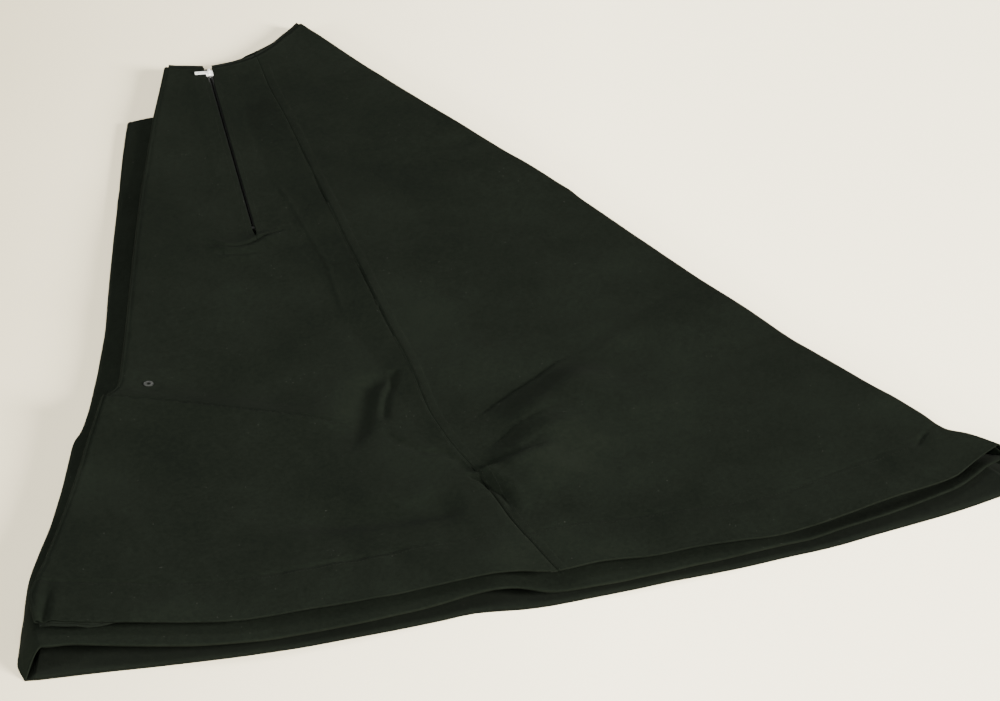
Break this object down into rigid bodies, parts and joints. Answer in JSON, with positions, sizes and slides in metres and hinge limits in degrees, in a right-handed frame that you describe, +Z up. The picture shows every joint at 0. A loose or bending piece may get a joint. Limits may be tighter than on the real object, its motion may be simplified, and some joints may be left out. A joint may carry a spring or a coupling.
{
  "type": "film changing bag",
  "caption": "Conical black cloth changing bag, folded in half flat, with a metal zip in its neck slit, an eyelet near one folded edge and a wide hemmed mouth.",
  "frame": {"origin": "bottom centre of the bounding box of the folded bag, on the table plane", "axes": "+Z up; the centre fold line lies along Y on the +X side, with the neck at +Y and the wide mouth at -Y; the folded cloth lies on the -X side of that line"},
  "size_m": [0.8438, 1.0606, 0.0275],
  "materials": {
    "outer_cloth": "matt black twill with a slight green-grey cast",
    "lining": "plain black closely woven lining",
    "binding": "black cotton tape",
    "zip_tape": "black ribbed zip tape",
    "zip_teeth": "black oxidised metal teeth",
    "zip_metal": "bright nickel plate",
    "eyelet_metal": "nickel plate, slightly dull"
  },
  "bodies": {
    "lower_half": {"lower_back_centre_lining": "lining", "lower_back_centre_panel": "outer_cloth", "lower_back_hem_facing": "lining", "lower_back_neck_binding": "binding", "lower_back_seam_binding": "binding", "lower_back_side_lining": "lining", "lower_back_side_panel": "outer_cloth", "lower_front_centre_lining": "lining", "lower_front_centre_panel": "outer_cloth", "lower_front_hem_facing": "lining", "lower_front_neck_binding": "binding", "lower_front_seam_binding": "binding", "lower_front_side_lining": "lining", "lower_front_side_panel": "outer_cloth", "lower_side_fold": "outer_cloth", "outer_centre_fold_lower": "outer_cloth"},
    "upper_base": {"outer_centre_fold_upper": "outer_cloth", "upper_back_centre_lining": "lining", "upper_back_centre_panel": "outer_cloth", "upper_back_hem_facing": "lining", "upper_back_neck_binding": "binding", "upper_back_seam_binding": "binding", "upper_back_side_lining": "lining", "upper_back_side_panel": "outer_cloth", "upper_side_fold": "outer_cloth"},
    "lid_side": {"eyelet_barrel": "eyelet_metal", "eyelet_washer": "eyelet_metal", "upper_front_seam_binding": "binding", "upper_front_side_hem_facing": "lining", "upper_front_side_lining": "lining", "upper_front_side_neck_binding": "binding", "upper_front_side_panel": "outer_cloth", "zip_bottom_stop": "zip_teeth", "zip_facing": "lining", "zip_tape_left": "zip_tape", "zip_tape_right": "zip_tape", "zip_teeth_left": "zip_teeth", "zip_teeth_right": "zip_teeth", "zip_top_stops": "zip_teeth"},
    "lid_centre": {"upper_front_centre_hem_facing": "lining", "upper_front_centre_lining": "lining", "upper_front_centre_neck_binding": "binding", "upper_front_centre_panel": "outer_cloth"},
    "zip_slider_body": {"zip_slider": "zip_metal"},
    "zip_pull": {"zip_pull_tab": "zip_metal"}
  },
  "joints": [
    {"name": "centre_fold", "type": "hinge", "parent": "lower_half", "child": "upper_base", "pos_m": [0.42233, 0.52975, 0.00505], "axis": [0, 1, -0.0047], "range_deg": [0, 178]},
    {"name": "mouth_lift", "type": "hinge", "parent": "upper_base", "child": "lid_side", "pos_m": [0.25161, 0.52754, 0.01277], "axis": [-0.599, -0.8007, 0.0137], "range_deg": [0, 8]},
    {"name": "mouth_lift_centre", "type": "hinge", "parent": "upper_base", "child": "lid_centre", "pos_m": [0.41493, 0.51575, 0.0108], "axis": [0, 1, -0.0077], "range_deg": [0, 7]},
    {"name": "zip_slide", "type": "slide", "parent": "lid_side", "child": "zip_slider_body", "axis": [-0.4524, -0.8917, 0.0126], "range_m": [0, 0.3]},
    {"name": "zip_pull_swing", "type": "hinge", "parent": "zip_slider_body", "child": "zip_pull", "pos_m": [0.27879, 0.49232, 0.01586], "axis": [0.4524, 0.8917, -0.0126], "range_deg": [0, 165]}
  ],
  "couplings": [
    {"joint": "mouth_lift_centre", "follows": "mouth_lift", "ratio": 0.827}
  ]
}
